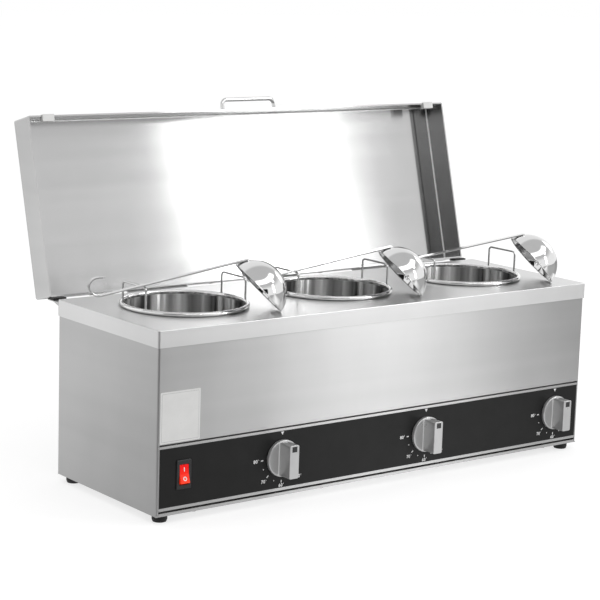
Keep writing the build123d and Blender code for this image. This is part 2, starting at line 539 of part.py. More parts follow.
def make_lid():
    """Lid: a folded pan with hemmed edges, its wire handle and two soft bumpers."""
    half = LID_WIDTH / 2
    top = MOUTH + LID_HEIGHT
    outer = block(-half, half, LID_FRONT, COVER_DEPTH, MOUTH, top)
    outer = fillet(outer.edges().filter_by(Axis.Z), CORNER_RADIUS)
    outer = fillet(outer.faces().sort_by(Axis.Z)[-1].edges(), 1.6)
    inner = block(-half + SHEET, half - SHEET, LID_FRONT + SHEET, COVER_DEPTH - SHEET, MOUTH - 1, top - SHEET)
    inner = fillet(inner.edges().filter_by(Axis.Z), CORNER_RADIUS - SHEET)
    hem = block(-half + SHEET / 2, half - SHEET / 2, LID_FRONT + SHEET / 2, COVER_DEPTH - SHEET / 2,
                MOUTH, MOUTH + HEM_HEIGHT)
    hem -= block(-half + LID_HEM, half - LID_HEM, LID_FRONT + LID_HEM, COVER_DEPTH - LID_HEM, MOUTH - 1, top)
    keep("lid_pan", OPEN_LID * (outer - inner + hem))

    z = MOUTH + HANDLE_RISE
    out = LID_FRONT - HANDLE_REACH + HANDLE_WIRE / 2
    points = [(-HANDLE_SPAN / 2, LID_FRONT, z), (-HANDLE_SPAN / 2, out, z),
              (HANDLE_SPAN / 2, out, z), (HANDLE_SPAN / 2, LID_FRONT, z)]
    handle = wire_rod(points, HANDLE_BEND, HANDLE_WIRE / 2)
    for x in (-HANDLE_SPAN / 2, HANDLE_SPAN / 2):
        handle += rod_y(x, z, LID_FRONT - 1.2, LID_FRONT, HANDLE_WIRE / 2 + 1.6)
    keep("lid_handle", OPEN_LID * handle)

    bumpers = []
    for x in (-BUMPER_X, BUMPER_X):
        pad = block(x - BUMPER_WIDTH / 2, x + BUMPER_WIDTH / 2, LID_FRONT - 1.2, LID_FRONT + HEM_HEIGHT + 0.4,
                    MOUTH - LID_GAP + SEAT_GAP, MOUTH + 6)
        pad = fillet(pad.edges().filter_by(Axis.Z), 0.9)
        slot = block(x - BUMPER_WIDTH, x + BUMPER_WIDTH, LID_FRONT, LID_FRONT + LID_HEM, MOUTH, MOUTH + 9)
        bumpers.append(OPEN_LID * (pad - slot))
    keep("lid_bumpers", *bumpers)


def make_hinge():
    """Long hinge behind the cover: leaves with alternate knuckles on one pin. Returns the cover's rivets."""
    pitch = 2 * HINGE_HALF / KNUCKLES
    fixed = block(-HINGE_HALF, HINGE_HALF, COVER_DEPTH, COVER_DEPTH + SHEET, TOP - COVER_LIP + 1, HINGE_Z + 2)
    moving = block(-HINGE_HALF, HINGE_HALF, COVER_DEPTH, COVER_DEPTH + SHEET, MOUTH + 3, MOUTH + 22)
    crank = [(COVER_DEPTH, MOUTH + 4), (COVER_DEPTH + SHEET, MOUTH + 4),
             (HINGE_Y + 1.6, HINGE_Z + 2.4), (HINGE_Y - 0.2, HINGE_Z + 1.6)]
    for index in range(KNUCKLES):
        x0 = -HINGE_HALF + index * pitch + KNUCKLE_GAP / 2
        x1 = x0 + pitch - KNUCKLE_GAP
        barrel = rod_x(HINGE_Y, HINGE_Z, x0, x1, KNUCKLE_RADIUS)
        if index % 2 == 0:
            fixed += barrel + block(x0, x1, COVER_DEPTH, HINGE_Y, HINGE_Z - SHEET / 2, HINGE_Z + SHEET / 2)
        else:
            moving += barrel + prism_x(crank, x0, x1)
    fixed -= rod_x(HINGE_Y, HINGE_Z, -HINGE_HALF - 1, HINGE_HALF + 1, PIN_RADIUS)
    moving -= rod_x(HINGE_Y, HINGE_Z, -HINGE_HALF - 1, HINGE_HALF + 1, PIN_RADIUS + SHAFT_FIT)
    keep("hinge_fixed_leaf", fixed)
    keep("hinge_pin", rod_x(HINGE_Y, HINGE_Z, -HINGE_HALF, HINGE_HALF, PIN_RADIUS))
    keep("hinge_moving_leaf", OPEN_LID * moving)
    cover_rivets, lid_rivets = [], []
    for index in range(KNUCKLES):
        x = -HINGE_HALF + (index + 0.5) * pitch
        face = COVER_DEPTH + SHEET
        head = Rot(X=-90) * (Cylinder(3, 1, align=(Align.CENTER, Align.CENTER, Align.MIN)))
        cover_rivets.append(Pos(x, face, TOP - COVER_LIP + 5) * head)
        lid_rivets.append(OPEN_LID * (Pos(x, face, MOUTH + 14) * head))
    keep("lid_rivets", *lid_rivets)
    return cover_rivets


def make_lid_stops(rivets):
    """A bracket at each end of the cover's back carries the rubber pad that the open lid rests on."""
    corner = (OPEN_LID * Pos(0, COVER_DEPTH, MOUTH)).position
    slope = tan(radians(LID_OPEN - 90))
    near, far = corner.Y - 8.4, corner.Y + 6.2
    top = corner.Z - STOP_GAP
    seat = top - 3.2
    brackets, pads = [], []
    for side in (-1, 1):
        outer = side * LID_WIDTH / 2
        x0, x1 = sorted((outer, outer - side * STOP_WIDTH))
        web = sorted((outer, outer - side * SHEET))
        shelf = prism_x([(COVER_DEPTH, seat), (far, seat), (far, seat - SHEET), (COVER_DEPTH, seat - SHEET)], x0, x1)
        gusset = prism_x([(COVER_DEPTH, seat - 5.2), (COVER_DEPTH, seat), (far, seat), (far, seat - SHEET),
                          (near, seat - SHEET)], *web)
        back = block(x0, x1, COVER_DEPTH, COVER_DEPTH + SHEET, TOP - COVER_LIP + 1, seat)
        brackets.append(shelf + gusset + back)
        head = Rot(X=-90) * Cylinder(3, 1, align=(Align.CENTER, Align.CENTER, Align.MIN))
        rivets.append(Pos((x0 + x1) / 2, COVER_DEPTH + SHEET, TOP - COVER_LIP + 6) * head)
        pads.append(prism_x([(near, seat), (near, top), (corner.Y, top), (far, top - slope * 6.2), (far, seat)], x0, x1))
    keep("lid_stop_brackets", *brackets)
    keep("cover_rivets", *rivets)
    keep("lid_stop_pads", *pads)


def make_wiring():
    """Cord gland, terminal block, and the loom along the base to the switch and thermostats."""
    x, z = GLAND
    gland = rod_y(x, z, BACK - 9, BACK + 1, GLAND_RADIUS)
    gland += rod_y(x, z, BACK - 4.5, BACK - SHELL_SHEET, GLAND_RADIUS + 4)
    nut = Pos(x, BACK, z) * Rot(X=-90) * extrude(RegularPolygon(GLAND_RADIUS + 3.5, 6), 8)
    dome = Pos(x, BACK + 8, z) * Rot(X=-90) * Cone(GLAND_RADIUS + 2, GLAND_RADIUS - 1, 8,
                                                   align=(Align.CENTER, Align.CENTER, Align.MIN))
    keep("cord_gland", gland + nut + dome - rod_y(x, z, BACK - 10, BACK + 20, 4.0))

    block_x0 = x - 30
    terminal = block(block_x0, x + 30, BACK - 56, BACK - 36, BASE_TOP, BASE_TOP + 16)
    for index in range(5):
        tx = block_x0 + 6 + index * 12
        terminal -= rod(tx, BACK - 50, BASE_TOP + 10, BASE_TOP + 17, 2.6)
        terminal -= rod(tx, BACK - 42, BASE_TOP + 10, BASE_TOP + 17, 2.6)
    keep("terminal_block", terminal)

    loom_z = BASE_TOP + 4
    loom_y = PANEL_BACK + 60
    switch_back = FACE + 34
    trunk = [(SWITCH_X, switch_back, CONTROL_Z), (SWITCH_X, loom_y - 12, CONTROL_Z), (SWITCH_X, loom_y, loom_z),
             (x, loom_y, loom_z), (x, BACK - 56, loom_z)]
    loom = wire_rod(trunk, [8, 10, 14], 3.5)
    for knob_x in KNOB_XS:
        start = (knob_x - 8, loom_y, loom_z)
        end_y = PANEL_BACK + 2 + THERMOSTAT_DEPTH
        rise = CONTROL_Z - 8
        loom += wire_rod([start, (knob_x - 8, loom_y, rise), (knob_x - 8, end_y, rise)], 10, 2.0)
    keep("wiring_loom", loom)


def main():
    """Builds every node, moves the origin under the middle of the outline and writes the STEP files."""
    for make in (make_shell, make_rear_panel, make_base, make_cover, make_control_panel, make_switch, make_knobs,
                 make_wells, make_pots, make_ladles, make_lid, make_wiring):
        make()
    make_lid_stops(make_hinge())
    boxes = [shape.bounding_box() for shape in nodes.values()]
    middle_x = (min(box.min.X for box in boxes) + max(box.max.X for box in boxes)) / 2
    middle_y = (min(box.min.Y for box in boxes) + max(box.max.Y for box in boxes)) / 2
    os.makedirs("parts", exist_ok=True)
    for name, shape in nodes.items():
        export_step(Pos(-middle_x, -middle_y, 0) * shape, f"parts/{name}.step")
    print("origin in the case frame", round(middle_x, 3), round(middle_y, 3))
    print("hinge axis", round(HINGE_Y - middle_y, 3), round(HINGE_Z, 3))
    print("knob axes x", [round(x - middle_x, 3) for x in KNOB_XS], "z", round(CONTROL_Z, 3))
    print("rocker axis", round(SWITCH_X - middle_x, 3), round(FACE + 1.2 - middle_y, 3), round(CONTROL_Z, 3))


main()
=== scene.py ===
"""Studio scene of a three-pot hot topping warmer, its lid open and a ladle lying across each pot.

The CAD pieces keep their own shapes and take their finishes here. New pieces are the printed dial
marks, the signs on the rocker, the ruled line on the blank plate, the bend inside the lid in a
brighter steel than the lid as a painted highlight, and pale beads at the foot of each knob's grip
bar as painted highlights. Lengths are in metres unless a name ends in _MM.
"""
import math

import bmesh
import bpy
import numpy as np
from mathutils import Matrix, Vector


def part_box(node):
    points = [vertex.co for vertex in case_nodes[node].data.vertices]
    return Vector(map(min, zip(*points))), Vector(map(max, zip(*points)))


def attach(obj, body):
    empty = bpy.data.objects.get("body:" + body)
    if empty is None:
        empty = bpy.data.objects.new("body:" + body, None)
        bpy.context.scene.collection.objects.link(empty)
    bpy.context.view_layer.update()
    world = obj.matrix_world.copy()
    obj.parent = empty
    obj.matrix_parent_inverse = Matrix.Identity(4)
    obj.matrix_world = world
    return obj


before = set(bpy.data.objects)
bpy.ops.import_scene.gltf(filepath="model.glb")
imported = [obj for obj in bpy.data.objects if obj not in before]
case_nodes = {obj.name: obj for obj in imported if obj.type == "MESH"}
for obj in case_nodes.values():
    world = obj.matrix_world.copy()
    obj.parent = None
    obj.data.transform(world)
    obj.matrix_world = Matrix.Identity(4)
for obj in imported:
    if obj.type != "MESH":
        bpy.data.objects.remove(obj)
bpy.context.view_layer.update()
NUMBERS = (1, 2, 3)


# ---- camera ----
SENSOR_MM, LENS_MM = 36.0, 116.476
NEAREST, FARTHEST = 0.05, 60.0
CAMERA_PLACE = (-1.648603, -2.11965, 0.71949)
CAMERA_RIGHT, CAMERA_UP = Vector((0.79434, -0.60668, 0.03089)), Vector((0.08525, 0.16167, 0.98316))


def add_object(name, data):
    """A new object in the scene, at the origin."""
    thing = bpy.data.objects.new(name, data)
    bpy.context.scene.collection.objects.link(thing)
    return thing


def set_camera():
    """Stands the camera at the front left, looking slightly down."""
    camera_data = bpy.data.cameras.new("studio_camera")
    camera_data.sensor_width, camera_data.lens = SENSOR_MM, LENS_MM
    camera_data.clip_start, camera_data.clip_end = NEAREST, FARTHEST
    camera = add_object("studio_camera", camera_data)
    backward = CAMERA_RIGHT.cross(CAMERA_UP).normalized()
    turn = Matrix((CAMERA_RIGHT, CAMERA_UP, backward)).transposed().to_4x4()
    camera.matrix_world = Matrix.Translation(CAMERA_PLACE) @ turn
    bpy.context.scene.camera = camera


set_camera()
bpy.context.scene.view_settings.view_transform = "Standard"


# ---- node helpers for the finishes ----
MIX_FACTOR = 0
MIX_FIRST_VALUE, MIX_SECOND_VALUE, MIXED_VALUE = 2, 3, 0
MIX_FIRST_COLOUR, MIX_SECOND_COLOUR, MIXED_COLOUR = 6, 7, 2
NO_STRETCH, ORIGIN = (1.0, 1.0, 1.0), (0.0, 0.0, 0.0)


def grey(tone):
    """A neutral colour."""
    return (tone, tone, tone)


def new_finish(name):
    """A material with its Principled shader, ready for more nodes."""
    finish = bpy.data.materials.new(name)
    finish.use_nodes = True
    tree = finish.node_tree
    return finish, tree, tree.nodes["Principled BSDF"]


def set_sockets(shader, **numbers):
    """Plain numbers on the shader's own sockets. An underscore in a name stands for a space."""
    for socket, number in numbers.items():
        shader.inputs[socket.replace("_", " ")].default_value = number


def stretched_coordinates(tree, stretch=NO_STRETCH, middle=ORIGIN):
    """Object coordinates moved so that middle is the origin, then multiplied by stretch."""
    place = tree.nodes.new("ShaderNodeTexCoord")
    shift = tree.nodes.new("ShaderNodeMapping")
    shift.inputs["Scale"].default_value = stretch
    shift.inputs["Location"].default_value = [-m * s for m, s in zip(middle, stretch)]
    tree.links.new(place.outputs["Object"], shift.inputs["Vector"])
    return shift.outputs["Vector"]


def split(tree, vector):
    """The X, Y and Z of a vector, each as a value of its own."""
    parts = tree.nodes.new("ShaderNodeSeparateXYZ")
    tree.links.new(vector, parts.inputs["Vector"])
    return parts.outputs["X"], parts.outputs["Y"], parts.outputs["Z"]


def noise(tree, vector, scale=1.0, detail=3.0, roughness=0.55, distortion=0.0):
    """Soft noise between 0 and 1."""
    cloud = tree.nodes.new("ShaderNodeTexNoise")
    set_sockets(cloud, Scale=scale, Detail=detail, Roughness=roughness, Distortion=distortion)
    tree.links.new(vector, cloud.inputs["Vector"])
    return cloud.outputs["Fac"]


def spread(tree, value, low, high, start=0.3, end=0.7):
    """Maps a value from start..end to low..high, and holds it there."""
    ruler = tree.nodes.new("ShaderNodeMapRange")
    set_sockets(ruler, From_Min=start, From_Max=end, To_Min=low, To_Max=high)
    tree.links.new(value, ruler.inputs["Value"])
    return ruler.outputs["Result"]


def blend_colours(tree, value, first, second):
    """A colour between first and second. Either may be another node's output."""
    mix = tree.nodes.new("ShaderNodeMix")
    mix.data_type = "RGBA"
    for place, colour in ((MIX_FIRST_COLOUR, first), (MIX_SECOND_COLOUR, second)):
        if isinstance(colour, tuple):
            mix.inputs[place].default_value = (*colour, 1.0)
        else:
            tree.links.new(colour, mix.inputs[place])
    tree.links.new(value, mix.inputs[MIX_FACTOR])
    return mix.outputs[MIXED_COLOUR]


def work(tree, operation, first, second):
    """One Math node. Plain numbers go on its sockets."""
    step = tree.nodes.new("ShaderNodeMath")
    step.operation = operation
    for socket, value in zip(step.inputs, (first, second)):
        if isinstance(value, float):
            socket.default_value = value
        else:
            tree.links.new(value, socket)
    return step.outputs["Value"]


def add(tree, first, second):
    """The sum of two values."""
    return work(tree, "ADD", first, second)


def times(tree, first, second):
    """The product of two values."""
    return work(tree, "MULTIPLY", first, second)


def raise_surface(tree, shader, height, distance, strength=1.0):
    """Bump of the given height in metres."""
    bump = tree.nodes.new("ShaderNodeBump")
    bump.inputs["Distance"].default_value = distance
    if isinstance(strength, float):
        bump.inputs["Strength"].default_value = strength
    else:
        tree.links.new(strength, bump.inputs["Strength"])
    tree.links.new(height, bump.inputs["Height"])
    tree.links.new(bump.outputs["Normal"], shader.inputs["Normal"])


LEVEL_SHEET_LEAN = 0.05


def upright_tangent(tree, shader):
    """Stretches the highlight across the grain: up the walls, front to back on a level sheet."""
    arrow = tree.nodes.new("ShaderNodeCombineXYZ")
    set_sockets(arrow, Y=LEVEL_SHEET_LEAN, Z=1.0)
    tree.links.new(arrow.outputs["Vector"], shader.inputs["Tangent"])


# ---- metals ----
CLOUD_STRETCH, CLOUD_SCALE = (2.2, 4.0, 5.0), 1.6
SMEAR_STRETCH = (11.0, 14.0, 5.0)
STREAK_STRETCH = (1.2, 1.6, 55.0)
WAVE_STRETCH = (7.0, 7.0, 1.6)
STREAK_SHARE, CLOUD_SHARE, SMEAR_SHARE = 0.3, 0.3, 0.4
DARKEST, BRIGHTEST = 0.93, 1.07
SMEAR_POLISH, STREAK_POLISH = (-0.012, 0.02), (-0.004, 0.004)


def brushed_steel(name, tone, roughness, stretch=0.8, buckle=0.0006, seed=0.0):
    """Sheet brushed along its length: broad streaks, faint rolled clouds and handling smears, on a
    slightly wavy sheet. Buckle is the height of its waves.

    Roughness stays to one side of 0.275 all over a sheet, where the renderer's clean-up changes."""
    finish, tree, shader = new_finish(name)
    cloud_place = stretched_coordinates(tree, CLOUD_STRETCH, (seed, 0.3, seed))
    cloud = noise(tree, cloud_place, CLOUD_SCALE, 3.0, 0.5)
    smear_place = stretched_coordinates(tree, SMEAR_STRETCH, (seed, 0.1, 0.7))
    smear = noise(tree, smear_place, detail=4.0)
    streak_place = stretched_coordinates(tree, STREAK_STRETCH, (seed, 0.5, 0.3))
    streak = noise(tree, streak_place, detail=1.0, roughness=0.4)
    tint = add(tree, times(tree, streak, STREAK_SHARE), times(tree, cloud, CLOUD_SHARE))
    tint = add(tree, tint, times(tree, smear, SMEAR_SHARE))
    low, high = tuple(t * DARKEST for t in tone), tuple(t * BRIGHTEST for t in tone)
    colour = blend_colours(tree, spread(tree, tint, 0.0, 1.0), low, high)
    tree.links.new(colour, shader.inputs["Base Color"])
    polish = add(tree, spread(tree, smear, *SMEAR_POLISH), spread(tree, streak, *STREAK_POLISH))
    tree.links.new(add(tree, polish, roughness), shader.inputs["Roughness"])
    set_sockets(shader, Metallic=1.0, Anisotropic=stretch)
    upright_tangent(tree, shader)
    wave_place = stretched_coordinates(tree, WAVE_STRETCH, (seed, seed, 0.2))
    raise_surface(tree, shader, noise(tree, wave_place, detail=1.0, roughness=0.4), buckle)
    return finish


RIM_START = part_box("top_cover")[1].z + 0.0004
RIM_FULL = RIM_START + 0.0006
POT_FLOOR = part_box("pot_1")[0].z
WALL_START, WALL_FULL = POT_FLOOR + 0.006, POT_FLOOR + 0.02
BANDS_A_TURN, BAND_SCALE, BAND_DETAIL = 2.0, 1.6, 1.6
PLAIN_BAND = 0.52
# The two band colours are painted reflections on the pot walls: a near black painted shade and a
# white painted highlight.
BAND_PAINTED_SHADE, BAND_PAINTED_HIGHLIGHT, RIM_TONE = grey(0.16), (1.0, 1.0, 0.995), grey(0.78)
BAND_LOW, BAND_HIGH = 0.38, 0.62
POT_ROUGHNESS, RIM_POLISH = 0.31, -0.15
BAND_POLISH, RING_POLISH = (-0.02, 0.04), (-0.01, 0.01)
RING_STRETCH, POT_STRETCH = (6.0, 6.0, 240.0), 0.95
BAND_DEPTH = 0.012


def pot_banding(tree, x, y, wall):
    """Noise along the angle about the pot's middle, and a plain value on the pot's floor."""
    band = tree.nodes.new("ShaderNodeTexNoise")
    band.noise_dimensions = "1D"
    set_sockets(band, Scale=BAND_SCALE, Detail=BAND_DETAIL, Roughness=0.5)
    angle = work(tree, "ARCTAN2", x, y)
    tree.links.new(times(tree, angle, BANDS_A_TURN), band.inputs["W"])
    choice = tree.nodes.new("ShaderNodeMix")
    choice.data_type = "FLOAT"
    choice.inputs[MIX_FIRST_VALUE].default_value = PLAIN_BAND
    tree.links.new(wall, choice.inputs[MIX_FACTOR])
    tree.links.new(band.outputs["Fac"], choice.inputs[MIX_SECOND_VALUE])
    return choice.outputs[MIXED_VALUE]


def drawn_pot_steel(name, middle):
    """Deep-drawn steel, polished round its axis: bands up the wall that follow the angle about the
    pot's middle, set in roughness and bump and painted into the colour as dark and bright
    reflections, with a brighter plain rim."""
    finish, tree, shader = new_finish(name)
    x, y, z = split(tree, stretched_coordinates(tree, middle=(*middle, 0.0)))
    wall = spread(tree, z, 0.0, 1.0, WALL_START, WALL_FULL)
    rim = spread(tree, z, 0.0, 1.0, RIM_START, RIM_FULL)
    banding = pot_banding(tree, x, y, wall)
    ring = noise(tree, stretched_coordinates(tree, RING_STRETCH))
    tone = spread(tree, banding, 0.0, 1.0, BAND_LOW, BAND_HIGH)
    # Painted reflection: the wall colour swings between the painted shade and the painted highlight
    # along the bands.
    wall_painted_reflection = blend_colours(tree, tone, BAND_PAINTED_SHADE, BAND_PAINTED_HIGHLIGHT)
    tree.links.new(blend_colours(tree, rim, wall_painted_reflection, RIM_TONE), shader.inputs["Base Color"])
    satin = add(tree, spread(tree, banding, *BAND_POLISH), spread(tree, ring, *RING_POLISH))
    satin = add(tree, satin, times(tree, rim, RIM_POLISH))
    tree.links.new(add(tree, satin, POT_ROUGHNESS), shader.inputs["Roughness"])
    set_sockets(shader, Metallic=1.0, Anisotropic=POT_STRETCH)
    upright_tangent(tree, shader)
    raise_surface(tree, shader, banding, BAND_DEPTH, work(tree, "SUBTRACT", wall, rim))
    return finish


HAZE_STRETCH, HAIR_STRETCH, HAZE_TONE = (22.0, 22.0, 22.0), (60.0, 600.0, 300.0), 0.94
HAZE_CLEAREST, HAZE_DULLEST, HAIR_DULL = -0.25, 0.4, 0.25


def polished_steel(name, tone, roughness, dent=0.0):
    """Bright steel with soft polishing haze and hairline scratches. Dent is the haze's height."""
    finish, tree, shader = new_finish(name)
    haze = noise(tree, stretched_coordinates(tree, HAZE_STRETCH), 1.0, 4.0, 0.6, 0.6)
    hair = noise(tree, stretched_coordinates(tree, HAIR_STRETCH), detail=2.0)
    low = tuple(t * HAZE_TONE for t in tone)
    colour = blend_colours(tree, spread(tree, haze, 0.0, 1.0), low, tone)
    tree.links.new(colour, shader.inputs["Base Color"])
    clearest, dullest = HAZE_CLEAREST * roughness, HAZE_DULLEST * roughness
    gloss = add(tree, spread(tree, haze, clearest, dullest),
                spread(tree, hair, 0.0, HAIR_DULL * roughness))
    tree.links.new(add(tree, gloss, roughness), shader.inputs["Roughness"])
    set_sockets(shader, Metallic=1.0)
    if dent:
        raise_surface(tree, shader, haze, dent)
    return finish


# ---- plastics, rubber and the rest ----
MOTTLE_SCALE, MOTTLE_MIDDLE = 34.0, (0.2, 0.1, 0.3)
WEAR_POLISH, MOULD_POLISH, MOULD_STRENGTH = (0.05, -0.05), (-0.02, 0.02), 0.6
COAT_ROUGHNESS = 0.12


def moulded(name, first, second, roughness, grain_mm=0.6, depth=0.00002, specular=0.5, coat=0.0):
    """Moulded plastic or rubber: a fine mould grain, slow mottling and worn patches that shine
    more. Depth is the grain's height."""
    finish, tree, shader = new_finish(name)
    mould = noise(tree, stretched_coordinates(tree), 1000.0 / grain_mm / 3, 2.0)
    mottle_place = stretched_coordinates(tree, middle=MOTTLE_MIDDLE)
    mottle = noise(tree, mottle_place, MOTTLE_SCALE, 4.0, 0.6)
    colour = blend_colours(tree, spread(tree, mottle, 0.0, 1.0), first, second)
    tree.links.new(colour, shader.inputs["Base Color"])
    wear = add(tree, spread(tree, mottle, *WEAR_POLISH), spread(tree, mould, *MOULD_POLISH))
    tree.links.new(add(tree, wear, roughness), shader.inputs["Roughness"])
    set_sockets(shader, Specular_IOR_Level=specular, Coat_Weight=coat,
                Coat_Roughness=COAT_ROUGHNESS)
    raise_surface(tree, shader, mould, depth, MOULD_STRENGTH)
    return finish


def red_plastic_painted_glow(name):
    """Clear red rocker plastic with a painted glow: its emission and base colour grow warmer and
    brighter towards its lower half, though no lamp sits in the rocker.
    """
    finish, tree, shader = new_finish(name)
    low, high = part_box("rocker")
    middle = [(a + b) / 2 for a, b in zip(low, high)]
    height = split(tree, stretched_coordinates(tree, (1.0, 1.0, 60.0), middle))[2]
    # Painted light: the base colour and the emission both brighten towards the lower half, and the
    # emission is a painted glow.
    glow = spread(tree, height, 1.0, 0.0, -0.7, 0.5)
    body = blend_colours(tree, glow, (0.72, 0.004, 0.004), (0.86, 0.035, 0.006))
    tree.links.new(body, shader.inputs["Base Color"])
    light = blend_colours(tree, glow, (0.8, 0.0, 0.0), (1.0, 0.045, 0.004))
    tree.links.new(light, shader.inputs["Emission Color"])
    set_sockets(shader, Emission_Strength=0.4, Coat_Weight=0.12, Coat_Roughness=0.08,
                Specular_IOR_Level=0.2)
    rib = noise(tree, stretched_coordinates(tree, (400.0, 30.0, 400.0)), detail=2.0)
    tree.links.new(spread(tree, rib, 0.2, 0.3), shader.inputs["Roughness"])
    return finish


def patchy(name, pattern, first, second, roughness, metallic=0.0, depth=0.0):
    """A finish that wanders between two colours and two roughnesses with one pattern of noise,
    given as its stretch, detail, roughness and distortion."""
    finish, tree, shader = new_finish(name)
    stretch, detail, breakup, distortion = pattern
    patch = noise(tree, stretched_coordinates(tree, stretch), 1.0, detail, breakup, distortion)
    colour = blend_colours(tree, spread(tree, patch, 0.0, 1.0), first, second)
    tree.links.new(colour, shader.inputs["Base Color"])
    tree.links.new(spread(tree, patch, *roughness), shader.inputs["Roughness"])
    set_sockets(shader, Metallic=metallic)
    if depth:
        raise_surface(tree, shader, patch, depth)
    return finish


# ---- which finish each CAD piece has ----
sheet = brushed_steel("brushed_sheet", grey(0.42), 0.295, stretch=1.0, buckle=0.0003)
cover_sheet = brushed_steel("brushed_cover", grey(0.63), 0.36, 0.6, buckle=0.00002, seed=0.4)
lid_sheet = brushed_steel("brushed_lid", grey(0.48), 0.15, 1.0, buckle=0.0002, seed=0.9)
inner_steel = brushed_steel("inner_sheet", grey(0.5), 0.38, 0.4, seed=1.7)
wire_steel = polished_steel("bright_wire", grey(0.66), 0.16)
screw_steel = polished_steel("screw_steel", (0.62, 0.62, 0.61), 0.22)
bowl_steel = polished_steel("mirror_bowl", grey(0.7), 0.045, dent=0.00012)
strip_steel = polished_steel("ladle_strip", grey(0.72), 0.14)
# The lid's own sheet at its inner bend, in a brighter steel than the lid: a painted highlight.
bend_painted_highlight_steel = polished_steel("bend_painted_highlight_steel", grey(0.82), 0.3)
black_rubber = moulded("black_rubber", grey(0.010), grey(0.017), 0.55,
                       grain_mm=1.2, depth=0.00006, specular=0.35)
black_film = moulded("black_overlay", grey(0.0105), grey(0.0135), 0.36,
                     grain_mm=0.5, depth=0.000008, specular=0.2)
black_plastic = moulded("black_plastic", (0.011, 0.011, 0.012), (0.018, 0.018, 0.019), 0.3,
                        grain_mm=0.8)
white_film = moulded("white_film", (0.76, 0.76, 0.75), (0.82, 0.82, 0.81), 0.32,
                     grain_mm=0.5, depth=0.000006, specular=0.4, coat=0.2)
white_plastic = moulded("white_plastic", (0.7, 0.69, 0.66), (0.76, 0.75, 0.72), 0.4, grain_mm=0.8)
white_silicone = moulded("white_silicone", (0.74, 0.74, 0.73), (0.84, 0.84, 0.83), 0.45,
                         grain_mm=1.0, depth=0.00004, specular=0.4)
wire_sleeve = moulded("wire_sleeve", (0.5, 0.44, 0.36), (0.6, 0.54, 0.45), 0.6,
                      grain_mm=0.7, depth=0.0001, specular=0.3)
silver_plastic = moulded("silver_plastic", grey(0.5), grey(0.56), 0.33, depth=0.00001, coat=0.3)
set_sockets(silver_plastic.node_tree.nodes["Principled BSDF"], Metallic=0.55)
# Pale plastic on the silver knobs: a painted highlight along the foot of each grip bar.
painted_highlight_bead = moulded("painted_highlight_bead", grey(0.8), grey(0.88), 0.3, depth=0.00001, coat=0.3)
mark_ink = moulded("mark_ink", grey(0.84), grey(0.92), 0.5,
                   grain_mm=0.4, depth=0.000005, specular=0.3)
rule_ink = moulded("rule_ink", grey(0.40), grey(0.48), 0.5,
                   grain_mm=0.4, depth=0.000005, specular=0.3)
mineral_wool = patchy("mineral_wool", ((160.0, 420.0, 160.0), 5.0, 0.7, 2.5),
                      (0.36, 0.33, 0.24), (0.68, 0.64, 0.5), (0.85, 1.0), depth=0.0012)
blued_band = patchy("mica_band", ((26.0, 26.0, 14.0), 4.0, 0.6, 0.8),
                    (0.34, 0.30, 0.25), (0.52, 0.5, 0.46), (0.32, 0.5), metallic=0.85)
tarnished_copper = patchy("copper_tube", ((60.0, 60.0, 60.0), 4.0, 0.6, 0.0),
                          (0.42, 0.19, 0.1), (0.72, 0.38, 0.24), (0.24, 0.42), metallic=1.0)

FINISH_OF = {
    "case_shell": sheet, "rear_panel": sheet, "base_pan": sheet, "control_panel": sheet,
    "top_cover": cover_sheet, "lid_pan": lid_sheet, "lid_handle": wire_steel,
    "foot_screws": screw_steel, "case_screws": screw_steel, "thermostat_screws": screw_steel,
    "cover_rivets": screw_steel, "lid_rivets": screw_steel, "hinge_pin": screw_steel,
    "hinge_fixed_leaf": inner_steel, "hinge_moving_leaf": inner_steel,
    "lid_stop_brackets": inner_steel, "lid_stop_pads": black_rubber, "feet": black_rubber,
    "lid_bumpers": white_silicone, "panel_overlay": black_film, "label_plate": white_film,
    "rocker_housing": black_plastic, "cord_gland": black_plastic,
    "terminal_block": white_plastic, "wiring_loom": wire_sleeve,
    "insulation_block": mineral_wool, "rocker": red_plastic_painted_glow("red_plastic"),
}
FINISH_OF_NUMBERED = {
    "heat_well": inner_steel, "band_heater": blued_band, "capillary": tarnished_copper,
    "thermostat": white_plastic, "thermostat_shaft": screw_steel, "pot_loops": wire_steel,
    "ladle_bowl": bowl_steel, "ladle_handle": strip_steel, "knob": silver_plastic,
    "knob_insert": black_plastic,
}


def box_middle(node):
    """The middle of a CAD piece's box."""
    low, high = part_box(node)
    return (low + high) / 2


for number in NUMBERS:
    pot_middle = box_middle(f"pot_{number}")
    FINISH_OF[f"pot_{number}"] = drawn_pot_steel(f"pot_steel_{number}", pot_middle.xy)
    for stem, finish in FINISH_OF_NUMBERED.items():
        FINISH_OF[f"{stem}_{number}"] = finish
for name, node in case_nodes.items():
    node.data.materials.clear()
    node.data.materials.append(FINISH_OF[name])


# ---- printed marks ----
def flat_ring(outer, inner=0.0, sides=24, turn=0.0):
    """Points (x, z) of a flat ring and its faces: two circles, each radius times the cosine and
    sine of even angles."""
    angle = turn + np.linspace(0, 2 * np.pi, sides, endpoint=False)
    circle = np.stack([np.cos(angle), np.sin(angle)], axis=1)
    if inner <= 0:
        return circle * outer, [tuple(range(sides))]
    points = np.concatenate([circle * outer, circle * inner])
    step = np.arange(sides)
    after = (step + 1) % sides
    return points, np.stack([step, after, after + sides, step + sides], axis=1).tolist()


def flat_bar(width, height):
    """Points (x, z) of a rectangle about the origin, and its one face."""
    corners = [(-width, -height), (width, -height), (width, height), (-width, height)]
    return np.array(corners) / 2, [(0, 1, 2, 3)]


LETTER_STEPS, LETTER_SPACE, LETTER_BOLD = 3, 1.1, 0.032


